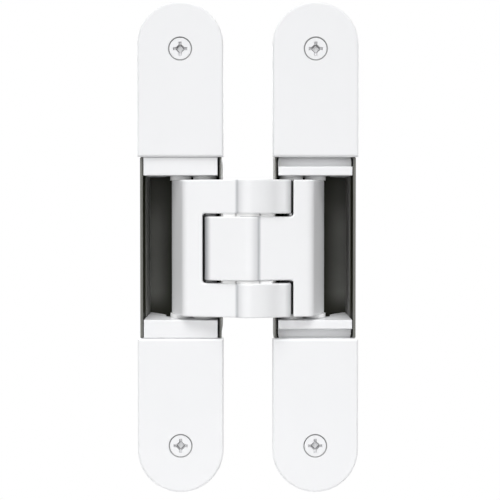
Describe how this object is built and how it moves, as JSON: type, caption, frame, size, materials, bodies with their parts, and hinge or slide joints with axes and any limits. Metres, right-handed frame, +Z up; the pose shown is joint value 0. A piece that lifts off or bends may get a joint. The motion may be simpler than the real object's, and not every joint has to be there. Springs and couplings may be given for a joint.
{
  "type": "concealed door hinge",
  "caption": "Concealed door hinge, opened flat: slim leaves with flush round-ended covers, joined by crossed arms that pivot and slide in deep pockets as the door closes.",
  "frame": {"origin": "middle of the frame leaf's four fixing screws, on its seating plane against the frame", "axes": "+X from the door leaf to the frame leaf when opened flat, +Y into the wood, +Z up along the leaves and the pivots"},
  "size_m": [0.072, 0.0342, 0.16],
  "materials": {
    "white_paint": "satin white powder coat on cast zinc",
    "dark_paint": "matt dark grey coat on cast zinc",
    "steel": "ground",
    "white_polymer": "moulded acetal"
  },
  "bodies": {
    "frame_leaf": {"frame_housing": "dark_paint", "frame_upper_cover": "white_paint", "frame_lower_cover": "white_paint", "frame_cover_screws": "white_paint", "frame_clamp_screws": "steel"},
    "frame_carrier": {"frame_upper_block": "white_paint", "frame_lower_block": "white_paint", "frame_upper_bush": "white_polymer", "frame_lower_bush": "white_polymer"},
    "fork": {"fork_arm": "white_paint", "fork_pivot_pin": "steel", "fork_slide_pin": "steel", "fork_upper_shoe": "white_polymer", "fork_lower_shoe": "white_polymer", "centre_pin": "steel", "upper_washer": "white_polymer", "lower_washer": "white_polymer"},
    "tongue": {"tongue_arm": "white_paint", "centre_bush": "white_polymer", "tongue_pivot_pin": "steel", "tongue_slide_pin": "steel", "tongue_upper_shoe": "white_polymer", "tongue_lower_shoe": "white_polymer"},
    "door_leaf": {"door_housing": "dark_paint", "door_upper_cover": "white_paint", "door_lower_cover": "white_paint", "door_cover_screws": "white_paint", "door_clamp_screws": "steel", "door_upper_block": "white_paint", "door_lower_block": "white_paint", "door_upper_bush": "white_polymer", "door_lower_bush": "white_polymer"}
  },
  "joints": [
    {"name": "height_adjust", "type": "slide", "parent": "frame_leaf", "child": "frame_carrier", "axis": [0, 0, 1], "range_m": [-0.003, 0.003]},
    {"name": "fork_pivot", "type": "hinge", "parent": "frame_carrier", "child": "fork", "pos_m": [-0.0076, -0.0025, 0], "axis": [0, 0, 1], "range_deg": [0, 105.79]},
    {"name": "centre_pivot", "type": "hinge", "parent": "fork", "child": "tongue", "pos_m": [-0.022, -0.013, 0], "axis": [0, 0, 1], "range_deg": [-31.58, 0]},
    {"name": "door_pivot", "type": "hinge", "parent": "tongue", "child": "door_leaf", "pos_m": [-0.0364, -0.0025, 0], "axis": [0, 0, 1], "range_deg": [0, 105.79]}
  ],
  "couplings": [
    {"joint": "centre_pivot", "follows": "fork_pivot", "ratio": -0.29848},
    {"joint": "door_pivot", "follows": "fork_pivot", "ratio": 1}
  ]
}
